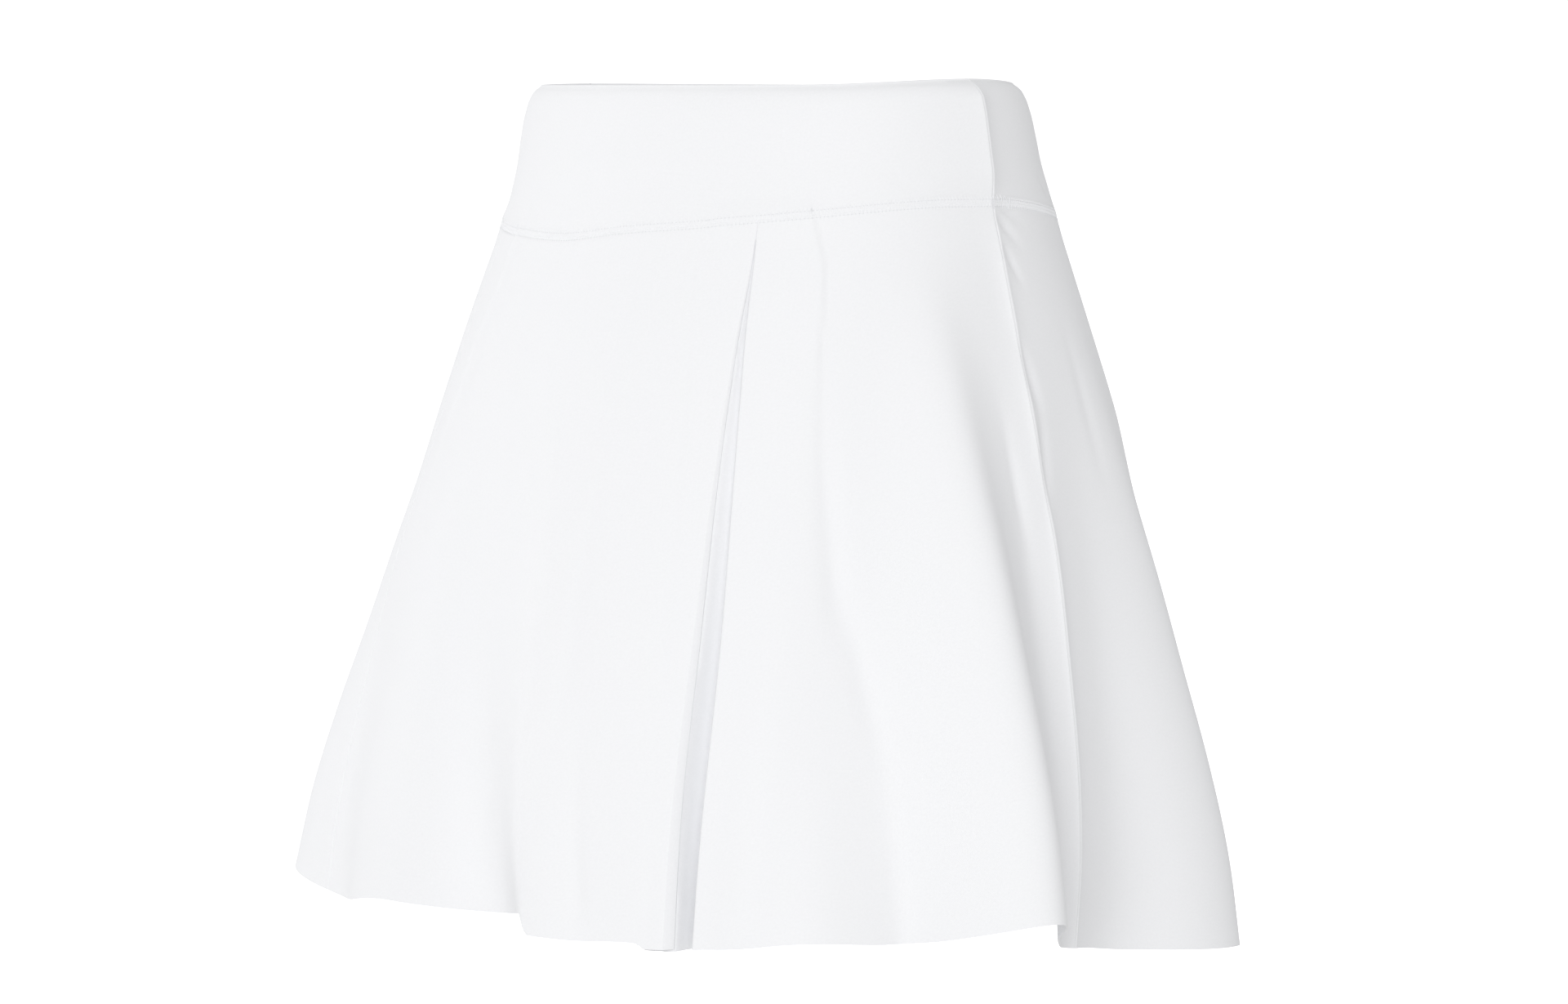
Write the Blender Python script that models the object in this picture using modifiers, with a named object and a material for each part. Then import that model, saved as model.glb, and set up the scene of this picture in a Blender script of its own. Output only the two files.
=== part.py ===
"""Tennis skirt: a shaped waistband in two pieces over a flared knit skirt.

Frame: metres, +Z up, origin at the centre of the waist opening. The wearer
faces -Y and the wearer's left is +X. Angles are in degrees round the body:
0 at the centre front, 90 at the wearer's left side, 180 at the centre back.
A drop is a distance straight down from the waist. A fraction runs from 0 at
a piece's upper edge to 1 at its lower edge.
"""
from collections import namedtuple

import bmesh
import bpy
import numpy as np

OBJECT_NAME = "tennis_skirt"

# Cloth
SKIRT_WALL = 0.0012       # one layer of heavy knit
BAND_WALL = 0.0020        # the waistband is folded double at its top edge
SEAM_GAP = 0.0005         # between the middles of two sewn walls, 0.3 mm at their corners
CLOTH_COLOUR = (0.93, 0.94, 0.96, 1.0)
CLOTH_ROUGHNESS = 0.85

# The side seams' angle, mirrored on the right side of the body
SideStation = namedtuple("SideStation", "fraction angle")
SIDE_SEAM = (
    SideStation(0.00, 89.0),
    SideStation(0.25, 90.0),
    SideStation(0.50, 91.0),
    SideStation(1.00, 91.0),
)

# Grid steps: the cloth's rows run down, its columns run round
BAND_COLUMNS = 26
SKIRT_ROWS = 16
SIDE_PANEL_COLUMNS = 22
CENTRE_PANEL_COLUMNS = 26
BACK_COLUMNS = 46
TURN_STEPS = 4            # round each folded edge of a pleat
RETURN_STEPS = 5          # along a pleat's hidden middle layer
UNDERLAY_STEPS = 4        # across a pleat's inner layer

# The body's sections, and how far each one's centre lies forward of the waist's
Section = namedtuple("Section", "fraction half_width half_depth forward")
BAND_SECTIONS = (
    Section(0.000, 0.1198, 0.0938, 0.0030),
    Section(0.030, 0.1225, 0.0962, 0.0030),
    Section(0.090, 0.1250, 0.0985, 0.0030),
    Section(0.200, 0.1268, 0.1015, 0.0028),
    Section(0.400, 0.1287, 0.1048, 0.0024),
    Section(0.600, 0.1300, 0.1078, 0.0018),
    Section(0.800, 0.1316, 0.1128, 0.0012),
    Section(1.000, 0.1332, 0.1188, 0.0008),
)
SKIRT_SECTIONS = (
    Section(0.000, 0.1332, 0.1188, 0.0008),
    Section(0.060, 0.1385, 0.1267, 0.0006),
    Section(0.150, 0.1458, 0.1388, 0.0004),
    Section(0.250, 0.1545, 0.1505, 0.0000),
    Section(0.375, 0.1655, 0.1635, 0.0000),
    Section(0.500, 0.1775, 0.1765, 0.0000),
    Section(0.625, 0.1885, 0.1885, 0.0000),
    Section(0.750, 0.2000, 0.2000, 0.0000),
    Section(0.875, 0.2095, 0.2095, 0.0000),
    Section(1.000, 0.2155, 0.2155, 0.0000),
)

# The waist's top edge: it rises a little over the hips
TopStation = namedtuple("TopStation", "angle drop")
TOP_EDGE = (
    TopStation(-180, 0.0024),
    TopStation(-135, 0.0022),
    TopStation(-90, 0.0018),
    TopStation(-45, 0.0024),
    TopStation(0, 0.0024),
    TopStation(45, 0.0022),
    TopStation(90, -0.0004),
    TopStation(135, 0.0020),
)

# The waist seam, and the skirt's cut length from that seam to the hem
SeamStation = namedtuple("SeamStation", "angle drop length")
SEAM_LINE = (
    SeamStation(-180, 0.0630, 0.3510),
    SeamStation(-135, 0.0610, 0.3475),
    SeamStation(-90, 0.0545, 0.3350),
    SeamStation(-68, 0.0590, 0.3200),
    SeamStation(-48, 0.0640, 0.3125),
    SeamStation(-24, 0.0684, 0.3090),
    SeamStation(-9, 0.0696, 0.3035),
    SeamStation(10, 0.0656, 0.3048),
    SeamStation(13.5, 0.0650, 0.3066),
    SeamStation(15.8, 0.0646, 0.3166),
    SeamStation(28.1, 0.0624, 0.3190),
    SeamStation(28.8, 0.0622, 0.3214),
    SeamStation(38, 0.0604, 0.3226),
    SeamStation(47, 0.0586, 0.3228),
    SeamStation(66, 0.0550, 0.3262),
    SeamStation(77, 0.0538, 0.3272),
    SeamStation(88, 0.0537, 0.3330),
    SeamStation(135, 0.0620, 0.3475),
)

# Soft folds: each runs from its angle at the waist seam to its angle at the
# hem and begins at the fraction "start". At the hem it stands out (or in) by
# its height and leans round the body by its lean. Above 0, "early" makes most
# of it rise near its start, and below 0 near the hem.
Fold = namedtuple("Fold", "seam_angle hem_angle spread height lean start early")
EASE = 0.10               # softness of a fold's upper end
FOLDS = (
    Fold(-50, -54, 22.0, 0.0105, 0.000, 0.38, -0.3),     # right front swell
    Fold(-34, -29, 8.5, -0.0110, 0.000, 0.48, 0.3),      # trough at the right pleat
    Fold(8, 8, 26.0, -0.0040, 0.000, 0.30, 0.0),         # centre front hollow
    Fold(-18, 6, 8.0, -0.0190, 0.000, 0.00, 0.0),        # centre front trough
    Fold(3, 15.5, 4.5, 0.0100, -0.004, 0.25, 0.0),       # centre front ridge
    Fold(44, 47, 6.0, 0.0040, 0.000, 0.40, 0.0),         # left front ridge
    Fold(50, 58.5, 5.5, -0.0065, 0.004, 0.30, 0.0),      # left front trough
    Fold(66, 73, 7.5, 0.0305, 0.017, 0.06, 1.0),         # left front flute
    Fold(82, 87.5, 3.5, -0.0070, 0.000, 0.15, 0.7),      # trough before the left side seam
    Fold(92, 94, 14.0, -0.0340, 0.000, 0.05, -0.9),      # left side trough
    Fold(101, 104, 8.0, -0.0110, 0.000, 0.15, 0.4),      # hollow of the left back panel
    Fold(112, 119, 6.0, 0.0030, 0.003, 0.05, 2.4),       # left back flute
    Fold(132, 136, 10.0, -0.0200, 0.000, 0.26, 0.3),     # hollow behind it
    Fold(152, 156, 9.0, -0.0160, 0.000, 0.10, 0.0),      # left back trough
    Fold(176, 178, 10.0, 0.0070, 0.004, 0.25, 0.2),      # centre back flute
    Fold(-154, -158, 8.0, -0.0140, 0.000, 0.20, -0.2),   # right back trough
    Fold(-130, -134, 12.0, 0.0060, 0.003, 0.15, 0.3),    # right back flute
    Fold(-112, -114, 6.0, -0.0060, 0.000, 0.45, 0.0),    # right hip trough
    Fold(-93, -96, 13.0, -0.0270, 0.000, 0.08, -0.7),    # right side trough
    Fold(-82, -87, 4.0, -0.0100, 0.000, 0.15, 0.6),      # trough before the right side seam
    Fold(-62, -70, 9.0, 0.0160, -0.006, 0.12, 0.3),      # right front flute
)

# Inverted pleats, one on each side of the centre front: the angle of the
# opening, its clear width, half the width of the layer inside, the radius of
# the folded edges, how far the centre panel's edge turns in before its fold,
# how much deeper the inner layer lies than flat folds, and how much lower it
# hangs
PleatStation = namedtuple("PleatStation", "fraction angle gap half_width radius lip recess sag")
PLEAT = (
    PleatStation(0.00, 37.5, 0.0006, 0.0250, 0.0009, 0.0000, 0.0000, 0.0000),
    PleatStation(0.20, 36.9, 0.0034, 0.0245, 0.0010, 0.0003, 0.0008, 0.0004),
    PleatStation(0.40, 36.2, 0.0084, 0.0240, 0.0011, 0.0010, 0.0018, 0.0006),
    PleatStation(0.60, 35.3, 0.0117, 0.0230, 0.0012, 0.0020, 0.0034, 0.0008),
    PleatStation(0.80, 34.0, 0.0130, 0.0215, 0.0012, 0.0028, 0.0050, 0.0010),
    PleatStation(1.00, 33.1, 0.0124, 0.0200, 0.0012, 0.0034, 0.0066, 0.0013),
)
LIP_TURN = 42.0           # degrees
BEND_RADIUS = 0.0008      # the crease where a pleat's lip turns in
RETURN_REACH = 0.0035     # behind a folded edge the cloth drops to the inner layer
RIGHT_OPENNESS = 0.08     # the right pleat hangs this far open, the left one fully
LEFT_OPENNESS = 1.0


def curve_through(places, values, at):
    """A smooth curve through a table's values (cubic, no overshoot)."""
    places = np.asarray(places, float)
    values = np.asarray(values, float)
    steps = np.diff(places)
    slopes = np.diff(values) / steps
    tangents = np.zeros(len(values))
    tangents[0] = slopes[0]
    tangents[-1] = slopes[-1]
    same_way = slopes[:-1] * slopes[1:] > 0
    mean = (slopes[:-1] * steps[1:] + slopes[1:] * steps[:-1]) / (steps[1:] + steps[:-1])
    least = np.minimum(abs(slopes[:-1]), abs(slopes[1:]))
    limited = np.sign(mean) * np.minimum(abs(mean), 3 * least)
    tangents[1:-1] = np.where(same_way, limited, 0.0)
    at = np.clip(at, places[0], places[-1])
    cell = np.clip(np.searchsorted(places, at, side="right") - 1, 0, len(steps) - 1)
    step = steps[cell]
    t = (at - places[cell]) / step
    start = values[cell] * (1 + 2 * t) * (1 - t) ** 2
    end = values[cell + 1] * (3 - 2 * t) * t ** 2
    leave = tangents[cell] * step * t * (1 - t) ** 2
    arrive = tangents[cell + 1] * step * t ** 2 * (t - 1)
    return start + end + leave + arrive


def column(table, name, at):
    """One column of a table, read at any place along its first column."""
    places = [row[0] for row in table]
    values = [getattr(row, name) for row in table]
    return curve_through(places, values, at)


def column_round(table, name, angle):
    """One column of a table whose first column is an angle round the body."""
    places = [row[0] for row in table]
    values = [getattr(row, name) for row in table]
    places = [p - 360 for p in places] + places + [p + 360 for p in places]
    return curve_through(places, values * 3, wrap(angle))


def wrap(angle):
    """The same angle, from -180 up to 180."""
    return (np.asarray(angle, float) + 180) % 360 - 180


def smooth(t):
    """From 0 to 1 with level ends."""
    t = np.clip(t, 0, 1)
    return t * t * (3 - 2 * t)


def fold_shift(angle, fraction):
    """How far the soft folds stand out, and how far they lean round."""
    shape = np.broadcast(angle, fraction).shape
    height = np.zeros(shape)
    lean = np.zeros(shape)
    for fold in FOLDS:
        ridge = fold.seam_angle + (fold.hem_angle - fold.seam_angle) * fraction
        across = wrap(angle - ridge) / fold.spread
        along = np.clip((fraction - fold.start) / (1 - fold.start), 0, 1)
        eased = along ** 2 * (1 + EASE) / (along + EASE)
        rise = eased + fold.early * eased * (1 - eased)
        height += fold.height * rise * np.exp(-across ** 2)
        lean += fold.lean * rise * np.exp(-across ** 2)
    return height, lean


def section_point(table, angle, fraction, drop, out):
    """A point of a section, moved outwards from the body's axis."""
    turn = np.radians(angle)
    across = column(table, "half_width", fraction) + out
    deep = column(table, "half_depth", fraction) + out
    x = across * np.sin(turn)
    y = -deep * np.cos(turn) - column(table, "forward", fraction)
    z = -drop + np.zeros_like(x)
    return np.stack([x, y, z], axis=-1)


def band_point(angle, fraction):
    """A point of the waistband's middle surface."""
    top = column_round(TOP_EDGE, "drop", angle)
    seam = column_round(SEAM_LINE, "drop", angle) - SEAM_GAP / 2
    drop = top + (seam - top) * fraction
    return section_point(BAND_SECTIONS, angle, fraction, drop, 0.0)


def skirt_point(angle, fraction, inward=0.0, sag=0.0):
    """A point of the skirt's middle surface; the hem rises where it flares."""
    seam = column_round(SEAM_LINE, "drop", angle)
    length = column_round(SEAM_LINE, "length", angle)
    flare = SKIRT_SECTIONS[-1].half_width - SKIRT_SECTIONS[0].half_width
    reach = flare + fold_shift(angle, 1.0)[0]
    hang = np.sqrt(length ** 2 - reach ** 2)
    drop = seam + SEAM_GAP / 2 + hang * fraction + sag
    height, lean = fold_shift(angle, fraction)
    radius = column(SKIRT_SECTIONS, "half_width", fraction)
    leaning = angle + np.degrees(lean / radius)
    return section_point(SKIRT_SECTIONS, leaning, fraction, drop, height - inward)


def side_seam(fraction):
    """The side seam's angle, and half of its gap as an angle."""
    radius = column(SKIRT_SECTIONS, "half_width", fraction)
    return column(SIDE_SEAM, "angle", fraction), np.degrees(SEAM_GAP / 2 / radius)


def pleat_half(fraction, openness, lip):
    """Offsets through half a pleat, from its panel's edge to its middle.

    They are the distances along the cloth from the middle, the distances
    inwards, and each point's share of the inner layer's sag. With a lip the
    panel's edge first runs straight inwards, and then folds back.
    """
    closed = PLEAT[0].gap
    gap = closed + (column(PLEAT, "gap", fraction) - closed) * openness
    radius = column(PLEAT, "radius", fraction)
    inner = column(PLEAT, "half_width", fraction) - radius
    layer = 4 * radius + column(PLEAT, "recess", fraction) * openness
    lean = np.radians(LIP_TURN) if lip else 0.0
    length = column(PLEAT, "lip", fraction) * openness if lip else 0.0
    bend = np.zeros(1 if lip else 0)
    turn = np.linspace(lean, np.pi, TURN_STEPS + 1)
    back = np.linspace(0, 1, RETURN_STEPS + 1)[1:-1] ** 2
    inner_turn = np.linspace(0, np.pi, TURN_STEPS + 1)
    across = np.linspace(-1, 0, UNDERLAY_STEPS // 2 + 1)[1:]

    fold = BEND_RADIUS * np.sin(lean) + radius * (1 - np.sin(lean))
    edge = -(gap + SKIRT_WALL) / 2 - fold
    foot = edge + BEND_RADIUS * np.sin(lean) + length
    depth = BEND_RADIUS * (1 - np.cos(lean)) + length * np.tan(lean)
    turn_along = foot + radius * (np.sin(turn) - np.sin(lean))
    turn_inward = depth + radius * (np.cos(lean) - np.cos(turn))
    under = layer - 2 * radius
    return_along = (inner + turn_along[-1]) * back
    dropped = smooth(return_along / RETURN_REACH)
    along = np.concatenate([
        edge + bend,
        turn_along,
        turn_along[-1] - return_along,
        -inner - radius * np.sin(inner_turn),
        inner * across,
    ])
    inward = np.concatenate([
        bend,
        turn_inward,
        turn_inward[-1] + (under - turn_inward[-1]) * dropped,
        under + radius * (1 - np.cos(inner_turn)),
        np.full(len(across), layer),
    ])
    share = np.concatenate([
        np.zeros(len(bend) + len(turn)),
        back,
        np.ones(len(inner_turn) + len(across)),
    ])
    return along, inward, column(PLEAT, "sag", fraction) * openness * share


def pleat_section(fraction, openness):
    """Offsets along the cloth, inwards and down, through the left pleat."""
    along, inward, down = pleat_half(fraction, openness, True)
    far_along, far_inward, far_down = pleat_half(fraction, openness, False)
    along = np.concatenate([along, -far_along[-2::-1]])
    inward = np.concatenate([inward, far_inward[-2::-1]])
    down = np.concatenate([down, far_down[-2::-1]])
    return along, inward, down


def front_section(fraction):
    """Angles, inward and downward offsets across the front and its pleats."""
    mirrored = pleat_section(fraction, RIGHT_OPENNESS)
    right_along, right_inward, right_down = (offsets[::-1] for offsets in mirrored)
    left_along, left_inward, left_down = pleat_section(fraction, LEFT_OPENNESS)
    radius = column(SKIRT_SECTIONS, "half_width", fraction)
    opening = column(PLEAT, "angle", fraction)
    seam, half_gap = side_seam(fraction)
    side = seam - half_gap
    right_pleat = -opening - np.degrees(right_along / radius)
    left_pleat = opening + np.degrees(left_along / radius)
    right_panel = np.linspace(-side, right_pleat[0], SIDE_PANEL_COLUMNS + 1)[:-1]
    centre_panel = np.linspace(right_pleat[-1], left_pleat[0], CENTRE_PANEL_COLUMNS + 1)[1:-1]
    left_panel = np.linspace(left_pleat[-1], side, SIDE_PANEL_COLUMNS + 1)[1:]
    flat_side = np.zeros(SIDE_PANEL_COLUMNS)
    flat_centre = np.zeros(CENTRE_PANEL_COLUMNS - 1)
    angles = np.concatenate([right_panel, right_pleat, centre_panel, left_pleat, left_panel])
    inwards = np.concatenate([flat_side, right_inward, flat_centre, left_inward, flat_side])
    downs = np.concatenate([flat_side, right_down, flat_centre, left_down, flat_side])
    return angles, inwards, downs


def skirt_front_rows():
    """Rows of points down the front, from the waist seam to the hem."""
    rows = []
    for fraction in np.linspace(0, 1, SKIRT_ROWS + 1):
        angles, inwards, downs = front_section(fraction)
        rows.append(skirt_point(angles, fraction, inwards, downs))
    return rows


def skirt_back_rows():
    """Rows of points down the back, from the waist seam to the hem."""
    rows = []
    for fraction in np.linspace(0, 1, SKIRT_ROWS + 1):
        seam, half_gap = side_seam(fraction)
        side = seam + half_gap
        angles = np.linspace(side, 360 - side, BACK_COLUMNS + 1)
        rows.append(skirt_point(angles, fraction))
    return rows


def band_rows(first_angle, last_angle):
    """Rows of points down one half of the waistband."""
    angles = np.linspace(first_angle, last_angle, BAND_COLUMNS + 1)
    return [band_point(angles, section.fraction) for section in BAND_SECTIONS]


def cloth_material(name):
    """White knit, matt all over."""
    material = bpy.data.materials.new(name)
    material.use_nodes = True
    shader = material.node_tree.nodes["Principled BSDF"]
    shader.inputs["Base Color"].default_value = CLOTH_COLOUR
    shader.inputs["Roughness"].default_value = CLOTH_ROUGHNESS
    shader.inputs["Metallic"].default_value = 0.0
    return material


def cloth_piece(collection, name, rows, wall):
    """A flat grid bent through rows of points, given its wall by Solidify."""
    points = np.array(rows)
    down, across = points.shape[0] - 1, points.shape[1] - 1
    bm = bmesh.new()
    bmesh.ops.create_grid(bm, x_segments=across, y_segments=down, size=1.0)
    for vertex in bm.verts:
        i = round((1 - vertex.co.y) / 2 * down)
        j = round((1 + vertex.co.x) / 2 * across)
        vertex.co = points[i, j]
    mesh = bpy.data.meshes.new(name)
    bm.to_mesh(mesh)
    bm.free()
    mesh.materials.append(cloth_material(name + "_cloth"))
    mesh.shade_smooth()
    piece = bpy.data.objects.new(name, mesh)
    collection.objects.link(piece)
    shell = piece.modifiers.new("wall", "SOLIDIFY")
    shell.thickness = wall
    shell.offset = 0.0
    shell.use_even_offset = True
    shell.use_quality_normals = True
    return piece


def clear_scene():
    """Remove what the scene holds already."""
    for item in list(bpy.data.objects):
        bpy.data.objects.remove(item, do_unlink=True)


def main():
    clear_scene()
    collection = bpy.data.collections.new(OBJECT_NAME)
    bpy.context.scene.collection.children.link(collection)
    band_half_gap = np.degrees(SEAM_GAP / 2 / BAND_SECTIONS[0].half_width)
    side = SIDE_SEAM[0].angle
    front_rows = band_rows(-side + band_half_gap, side - band_half_gap)
    back_rows = band_rows(side + band_half_gap, 360 - side - band_half_gap)
    cloth_piece(collection, "waistband_front", front_rows, BAND_WALL)
    cloth_piece(collection, "waistband_back", back_rows, BAND_WALL)
    cloth_piece(collection, "skirt_front", skirt_front_rows(), SKIRT_WALL)
    cloth_piece(collection, "skirt_back", skirt_back_rows(), SKIRT_WALL)


main()
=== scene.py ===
"""Tennis skirt: its cloth, creases and sewing, with studio light and a camera.

Frame: metres, +Z up, origin at the centre of the waist opening. The wearer
faces -Y and the wearer's left is +X. Angles are in degrees round the body:
0 at the centre front, 90 at the wearer's left side, 180 at the centre back.
A drop is a distance straight down from the waist. A fraction runs from 0 at
a piece's upper edge to 1 at its lower edge.
"""
import math
from collections import namedtuple

import bpy
import numpy as np
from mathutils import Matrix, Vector

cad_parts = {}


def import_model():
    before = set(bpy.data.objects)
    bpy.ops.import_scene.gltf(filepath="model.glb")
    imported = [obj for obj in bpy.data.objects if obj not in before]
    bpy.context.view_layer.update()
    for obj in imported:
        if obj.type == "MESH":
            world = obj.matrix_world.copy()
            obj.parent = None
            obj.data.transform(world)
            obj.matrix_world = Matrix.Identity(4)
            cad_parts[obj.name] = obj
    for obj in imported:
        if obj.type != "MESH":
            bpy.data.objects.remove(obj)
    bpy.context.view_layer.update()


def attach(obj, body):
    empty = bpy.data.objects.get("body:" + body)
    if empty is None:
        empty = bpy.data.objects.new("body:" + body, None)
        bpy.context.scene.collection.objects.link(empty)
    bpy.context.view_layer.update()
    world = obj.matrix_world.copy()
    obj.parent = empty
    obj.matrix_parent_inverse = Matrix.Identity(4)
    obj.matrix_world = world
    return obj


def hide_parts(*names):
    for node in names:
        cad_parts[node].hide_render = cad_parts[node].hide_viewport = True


BODY = "root"

# Cloth
SKIRT_WALL = 0.0008
BAND_LAYER = 0.0009       # one layer of the doubled waistband
BAND_FOLD = 0.00052       # from the doubled waistband's middle to each layer's
SEAM_GAP = 0.0005
SHARP_EDGE = 50.0         # degrees: a cut edge is shaded sharp
TUCK_ROWS = (0.006, 0.003, 0.001)   # how far the skirt runs up into the waistband
PART_REACH = 0.010        # the waistband's layers part this far above their edge
PARTED = (SKIRT_WALL + BAND_LAYER) / 2 + 0.0001
TUCKED = BAND_FOLD - PARTED
RAISED = 0.00047          # brings the skirt's outer face up to the waistband's
RAISED_REACH = 0.040      # as a fraction of the skirt's length
OVERLAP = 0.0006          # the waistband's outer layer ends this far down on the skirt
EDGE_ROLL = 0.0003        # the waistband's lower edge rolls in onto the skirt
BULK_STEP = 0.003         # half-width of the step beside the pleats' sewn-in layers

# Waist seam's sewing: two rows of short stitches under one zigzag thread
THREAD_RADIUS = 0.00013
STITCH_PITCH = 0.00185
STITCH_LENGTH = 0.0014
STITCH_ROWS = (0.0014, -0.0014)
ZIGZAG_TOP = 0.0033
ZIGZAG_BOTTOM = -0.0026
# Needle holes: small flat patches coloured darker over the cloth, painted shade where the stitches
# sink in
SHADE_PATCH_RADIUS = 0.00024
SHADE_PATCH_CORNERS = 8
SHADE_PATCH_LIFT = 0.00022       # a painted-shade patch lies this far over the cloth

# Thicker loops just behind each side seam, where the waist seam crosses it:
# degrees behind the side seam and heights over the waist seam, at both ends
Loop = namedtuple("Loop", "behind above end_behind end_above")
LOOPS = (
    Loop(1.4, 0.0034, 2.4, 0.0002),
    Loop(2.9, 0.0035, 3.7, 0.0004),
    Loop(4.4, 0.0034, 5.7, 0.0004),
    Loop(6.9, 0.0026, 5.9, -0.0022),
)
LOOP_RADIUS = 0.00026

# Grid steps
SKIRT_ROWS = 104
BAND_ROWS = 40
BAND_COLUMNS = 200
SIDE_PANEL_STEPS = 74
CENTRE_PANEL_STEPS = 112
BACK_STEPS = 260
TURN_STEPS = 8
BEND_STEPS = 3
RETURN_STEPS = 12
UNDERLAY_STEPS = 24
EDGE_STRIP = 0.004        # width of the narrow strip beside a seam
EDGE_STEPS = 9            # in that strip
FOLD_STEPS = 8            # round the waistband's top fold
ROW_BIAS = 1.12           # rows lie a little closer near the waist
PLEAT_BIAS = 1.2          # columns lie a little closer near a pleat

# The side seams' angle, mirrored on the right side of the body
SideStation = namedtuple("SideStation", "fraction angle")
SIDE_SEAM = (
    SideStation(0.00, 89.0),
    SideStation(0.25, 90.0),
    SideStation(0.50, 91.0),
    SideStation(1.00, 91.0),
)

# The body's sections, and how far each one's centre lies forward of the waist's
Section = namedtuple("Section", "fraction half_width half_depth forward")
BAND_SECTIONS = (
    Section(0.000, 0.1198, 0.0938, 0.0030),
    Section(0.030, 0.1225, 0.0962, 0.0030),
    Section(0.090, 0.1250, 0.0985, 0.0030),
    Section(0.200, 0.1268, 0.1015, 0.0028),
    Section(0.400, 0.1287, 0.1048, 0.0024),
    Section(0.600, 0.1300, 0.1078, 0.0018),
    Section(0.800, 0.1316, 0.1128, 0.0012),
    Section(1.000, 0.1332, 0.1188, 0.0008),
)
SKIRT_SECTIONS = (
    Section(0.000, 0.1332, 0.1188, 0.0008),
    Section(0.060, 0.1385, 0.1267, 0.0006),
    Section(0.150, 0.1458, 0.1388, 0.0004),
    Section(0.250, 0.1545, 0.1505, 0.0000),
    Section(0.375, 0.1655, 0.1635, 0.0000),
    Section(0.500, 0.1775, 0.1765, 0.0000),
    Section(0.625, 0.1885, 0.1885, 0.0000),
    Section(0.750, 0.2000, 0.2000, 0.0000),
    Section(0.875, 0.2095, 0.2095, 0.0000),
    Section(1.000, 0.2155, 0.2155, 0.0000),
)

# The waist's top edge: it rises a little over the hips
TopStation = namedtuple("TopStation", "angle drop")
TOP_EDGE = (
    TopStation(-180, 0.0024),
    TopStation(-135, 0.0022),
    TopStation(-90, 0.0018),
    TopStation(-45, 0.0024),
    TopStation(0, 0.0024),
    TopStation(45, 0.0022),
    TopStation(90, -0.0004),
    TopStation(135, 0.0020),
)

# The waist seam, and the skirt's cut length from that seam to the hem
SeamStation = namedtuple("SeamStation", "angle drop length")
SEAM_LINE = (
    SeamStation(-180, 0.0630, 0.3510),
    SeamStation(-135, 0.0610, 0.3475),
    SeamStation(-90, 0.0545, 0.3350),
    SeamStation(-68, 0.0590, 0.3200),
    SeamStation(-48, 0.0640, 0.3125),
    SeamStation(-24, 0.0684, 0.3090),
    SeamStation(-9, 0.0696, 0.3035),
    SeamStation(10, 0.0656, 0.3048),
    SeamStation(13.5, 0.0650, 0.3066),
    SeamStation(15.8, 0.0646, 0.3166),
    SeamStation(28.1, 0.0624, 0.3190),
    SeamStation(28.8, 0.0622, 0.3214),
    SeamStation(38, 0.0604, 0.3226),
    SeamStation(47, 0.0586, 0.3228),
    SeamStation(66, 0.0550, 0.3262),
    SeamStation(77, 0.0538, 0.3272),
    SeamStation(88, 0.0537, 0.3325),
    SeamStation(96, 0.0543, 0.3340),
    SeamStation(104, 0.0558, 0.3364),
    SeamStation(118, 0.0591, 0.3424),
    SeamStation(132, 0.0616, 0.3427),
    SeamStation(152, 0.0625, 0.3446),
)

# Soft folds: each runs from its angle at the waist seam to its angle at the
# hem and begins at the fraction "start". At the hem it stands out (or in) by
# its height and leans round the body by its lean. Above 0, "early" makes most
# of it rise near its start, and below 0 near the hem.
Fold = namedtuple("Fold", "seam_angle hem_angle spread height lean start early")
EASE = 0.10               # softness of a fold's upper end
FOLDS = (
    Fold(-50, -54, 22.0, 0.0105, 0.000, 0.38, -0.3),     # right front swell
    Fold(-34, -29, 8.5, -0.0110, 0.000, 0.48, 0.3),      # trough at the right pleat
    Fold(8, 8, 26.0, -0.0040, 0.000, 0.30, 0.0),         # centre front hollow
    Fold(-18, 6, 8.0, -0.0190, 0.000, 0.00, 0.0),        # centre front trough
    Fold(3, 15.5, 4.5, 0.0100, -0.004, 0.25, 0.0),       # centre front ridge
    Fold(44, 47, 6.0, 0.0040, 0.000, 0.40, 0.0),         # left front ridge
    Fold(50, 58.5, 5.5, -0.0065, 0.004, 0.30, 0.0),      # left front trough
    Fold(70.5, 71.3, 7.0, 0.0285, 0.012, 0.06, 0.75),    # left front flute
    Fold(82, 87.5, 3.5, -0.0030, 0.000, 0.15, 2.6),      # trough before the left side seam
    Fold(92, 94, 14.0, -0.0340, 0.000, 0.05, -0.9),      # left side trough
    Fold(101, 104, 8.0, -0.0110, 0.000, 0.15, 0.4),      # hollow of the left back panel
    Fold(112, 119, 6.0, 0.0030, 0.003, 0.05, 2.4),       # left back flute
    Fold(132, 136, 10.0, -0.0200, 0.000, 0.26, 0.3),     # hollow behind it
    Fold(152, 156, 9.0, -0.0160, 0.000, 0.10, 0.0),      # left back trough
    Fold(176, 178, 10.0, 0.0070, 0.004, 0.25, 0.2),      # centre back flute
    Fold(-154, -158, 8.0, -0.0140, 0.000, 0.20, -0.2),   # right back trough
    Fold(-130, -134, 12.0, 0.0060, 0.003, 0.15, 0.3),    # right back flute
    Fold(-112, -114, 6.0, -0.0060, 0.000, 0.45, 0.0),    # right hip trough
    Fold(-93, -96, 13.0, -0.0270, 0.000, 0.08, -0.7),    # right side trough
    Fold(-82, -87, 4.0, -0.0100, 0.000, 0.15, 0.6),      # trough before the right side seam
    Fold(-62, -70, 9.0, 0.0160, -0.006, 0.12, 0.3),      # right front flute
)

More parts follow.
